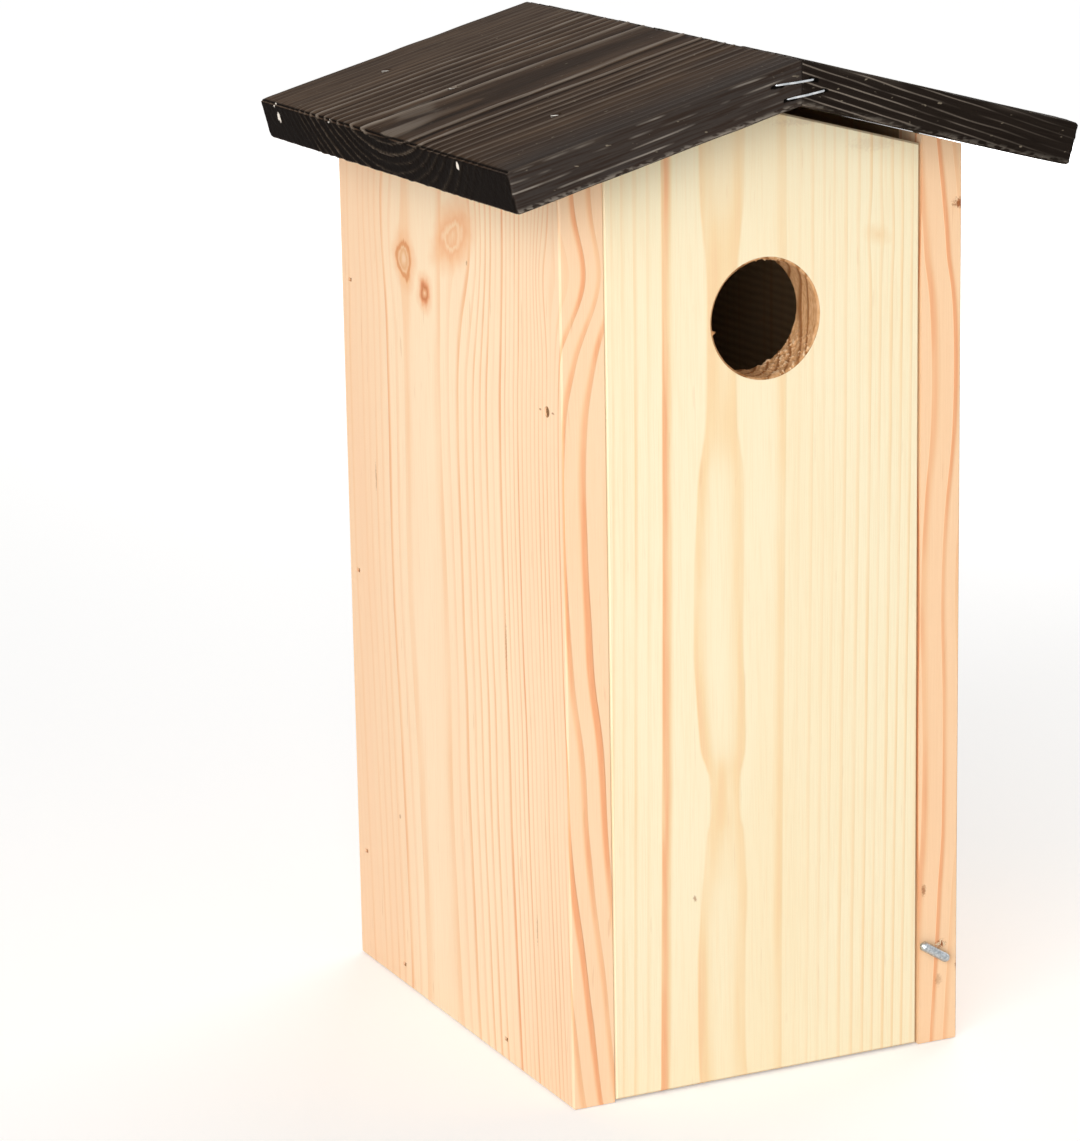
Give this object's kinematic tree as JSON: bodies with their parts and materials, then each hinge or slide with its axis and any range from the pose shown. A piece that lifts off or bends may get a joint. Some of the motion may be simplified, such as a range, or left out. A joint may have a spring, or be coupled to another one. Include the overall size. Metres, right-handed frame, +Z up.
{
  "type": "bird nest box",
  "caption": "Wooden nest box with a mitred, overhanging gable roof, a round entrance and a front that swings out on pivot nails, kept shut by a wire turn hook.",
  "frame": {"origin": "centre of the base, on the surface that the box stands on", "axes": "+X to the right as seen from the front, -Y out of the swinging front, +Z up to the ridge"},
  "size_m": [0.1686, 0.1689, 0.2823],
  "materials": {
    "planed_spruce": "bare, planed",
    "front_spruce": "bare, planed",
    "stained_spruce": "black-brown stain, satin",
    "zinc_plated_steel": "bright zinc",
    "bright_steel": "plain drawn steel"
  },
  "bodies": {
    "house": {"left_side_wall": "planed_spruce", "right_side_wall": "planed_spruce", "back_wall": "planed_spruce", "floor_board": "planed_spruce", "roof_board_left": "stained_spruce", "roof_board_right": "stained_spruce", "floor_brads_left": "bright_steel", "floor_brads_right": "bright_steel", "floor_brads_rear": "bright_steel", "back_wall_brads_left": "bright_steel", "back_wall_brads_right": "bright_steel", "roof_brads_left": "bright_steel", "roof_brads_right": "bright_steel", "pivot_nail_left": "bright_steel", "pivot_nail_right": "bright_steel", "ridge_staples": "zinc_plated_steel"},
    "swinging_front": {"front_door": "front_spruce"},
    "hook": {"turn_hook": "zinc_plated_steel"}
  },
  "joints": [
    {"name": "front_swing", "type": "hinge", "parent": "house", "child": "swinging_front", "pos_m": [0, -0.0645, 0.191], "axis": [-1, 0, 0], "range_deg": [0, 145]},
    {"name": "hook_turn", "type": "hinge", "parent": "house", "child": "hook", "pos_m": [0.0557, -0.0735, 0.0246], "axis": [0, -1, 0], "range_deg": [-57, 123]}
  ]
}
